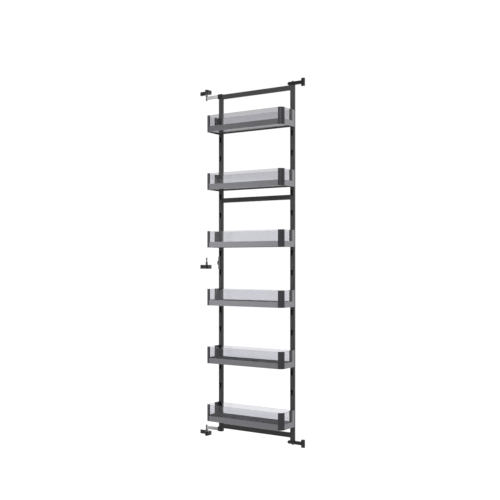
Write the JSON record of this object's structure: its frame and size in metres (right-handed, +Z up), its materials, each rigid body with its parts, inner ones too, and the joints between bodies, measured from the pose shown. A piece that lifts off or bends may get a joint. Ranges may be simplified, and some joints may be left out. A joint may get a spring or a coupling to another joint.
{
  "type": "swing-out basket shelf frame",
  "caption": "Tall swing-out shelf frame: slotted tube uprights on wall pivots carry hook-on glass-sided baskets, and link arms at its free edge hold pinned door brackets.",
  "frame": {"origin": "centre of the lower wall foot's mounting face", "axes": "+X out of the wall foot's mounting face into the cupboard side, +Z up along the uprights, baskets on the -Y side and the door on the +Y side"},
  "size_m": [0.6685, 0.1558, 1.8575],
  "materials": {
    "dark_powder_coat": "satin powder coat",
    "black_steel": "satin black",
    "grey_sheet": "satin grey",
    "dark_moulding": "fine grain",
    "clear_glass": "clear, slightly grey",
    "pale_nylon": "plain",
    "black_rubber": "matte",
    "grey_steel": "plain"
  },
  "bodies": {
    "wall_hinges": {"lower_wall_foot": "black_steel", "upper_wall_foot": "black_steel", "lower_pivot_arm": "black_steel", "upper_pivot_arm": "black_steel"},
    "frame": {"left_upright": "dark_powder_coat", "right_upright": "dark_powder_coat", "top_rail": "dark_powder_coat", "middle_rail": "dark_powder_coat", "bottom_rail": "dark_powder_coat", "lower_pivot_pin": "black_steel", "upper_pivot_pin": "black_steel", "lower_knuckle": "black_steel", "upper_knuckle": "black_steel", "catch_plate": "grey_steel", "catch_buffer": "black_rubber"},
    "upper_link": {"upper_link_arm": "pale_nylon"},
    "lower_link": {"lower_link_arm": "pale_nylon"},
    "door_brackets": {"upper_door_bracket": "black_steel", "middle_door_bracket": "black_steel", "lower_door_bracket": "black_steel", "upper_door_pin": "grey_steel", "middle_door_pin": "grey_steel", "lower_door_pin": "grey_steel"},
    "basket_1": {"basket_1_tray": "grey_sheet", "basket_1_liner": "dark_moulding", "basket_1_front_glass": "clear_glass", "basket_1_back_glass": "clear_glass", "basket_1_right_glass": "clear_glass", "basket_1_left_glass": "clear_glass"},
    "basket_2": {"basket_2_tray": "grey_sheet", "basket_2_liner": "dark_moulding", "basket_2_front_glass": "clear_glass", "basket_2_back_glass": "clear_glass", "basket_2_right_glass": "clear_glass", "basket_2_left_glass": "clear_glass"},
    "basket_3": {"basket_3_tray": "grey_sheet", "basket_3_liner": "dark_moulding", "basket_3_front_glass": "clear_glass", "basket_3_back_glass": "clear_glass", "basket_3_right_glass": "clear_glass", "basket_3_left_glass": "clear_glass"},
    "basket_4": {"basket_4_tray": "grey_sheet", "basket_4_liner": "dark_moulding", "basket_4_front_glass": "clear_glass", "basket_4_back_glass": "clear_glass", "basket_4_right_glass": "clear_glass", "basket_4_left_glass": "clear_glass"},
    "basket_5": {"basket_5_tray": "grey_sheet", "basket_5_liner": "dark_moulding", "basket_5_front_glass": "clear_glass", "basket_5_back_glass": "clear_glass", "basket_5_right_glass": "clear_glass", "basket_5_left_glass": "clear_glass"},
    "basket_6": {"basket_6_tray": "grey_sheet", "basket_6_liner": "dark_moulding", "basket_6_front_glass": "clear_glass", "basket_6_back_glass": "clear_glass", "basket_6_right_glass": "clear_glass", "basket_6_left_glass": "clear_glass"}
  },
  "joints": [
    {"name": "frame_swing", "type": "hinge", "parent": "wall_hinges", "child": "frame", "pos_m": [-0.068, 0, 0], "axis": [0, 0, -1], "range_deg": [0, 95]},
    {"name": "upper_link_turn", "type": "hinge", "parent": "frame", "child": "upper_link", "pos_m": [-0.508, 0, 1.78315], "axis": [0, 0, -1], "range_deg": [0, 90]},
    {"name": "lower_link_turn", "type": "hinge", "parent": "frame", "child": "lower_link", "pos_m": [-0.508, 0, 0.01535], "axis": [0, 0, -1], "range_deg": [0, 90]},
    {"name": "door_bracket_turn", "type": "hinge", "parent": "upper_link", "child": "door_brackets", "pos_m": [-0.6045, 0, 1.78315], "axis": [0, 0, -1], "range_deg": [-90, 0]},
    {"name": "basket_1_lift", "type": "slide", "parent": "frame", "child": "basket_1", "axis": [0, 0, 1], "range_m": [0, 0.0194]},
    {"name": "basket_2_lift", "type": "slide", "parent": "frame", "child": "basket_2", "axis": [0, 0, 1], "range_m": [0, 0.0194]},
    {"name": "basket_3_lift", "type": "slide", "parent": "frame", "child": "basket_3", "axis": [0, 0, 1], "range_m": [0, 0.0194]},
    {"name": "basket_4_lift", "type": "slide", "parent": "frame", "child": "basket_4", "axis": [0, 0, 1], "range_m": [0, 0.0194]},
    {"name": "basket_5_lift", "type": "slide", "parent": "frame", "child": "basket_5", "axis": [0, 0, 1], "range_m": [0, 0.0194]},
    {"name": "basket_6_lift", "type": "slide", "parent": "frame", "child": "basket_6", "axis": [0, 0, 1], "range_m": [0, 0.0194]}
  ],
  "couplings": [
    {"joint": "lower_link_turn", "follows": "upper_link_turn", "ratio": 1},
    {"joint": "door_bracket_turn", "follows": "upper_link_turn", "ratio": -1}
  ]
}
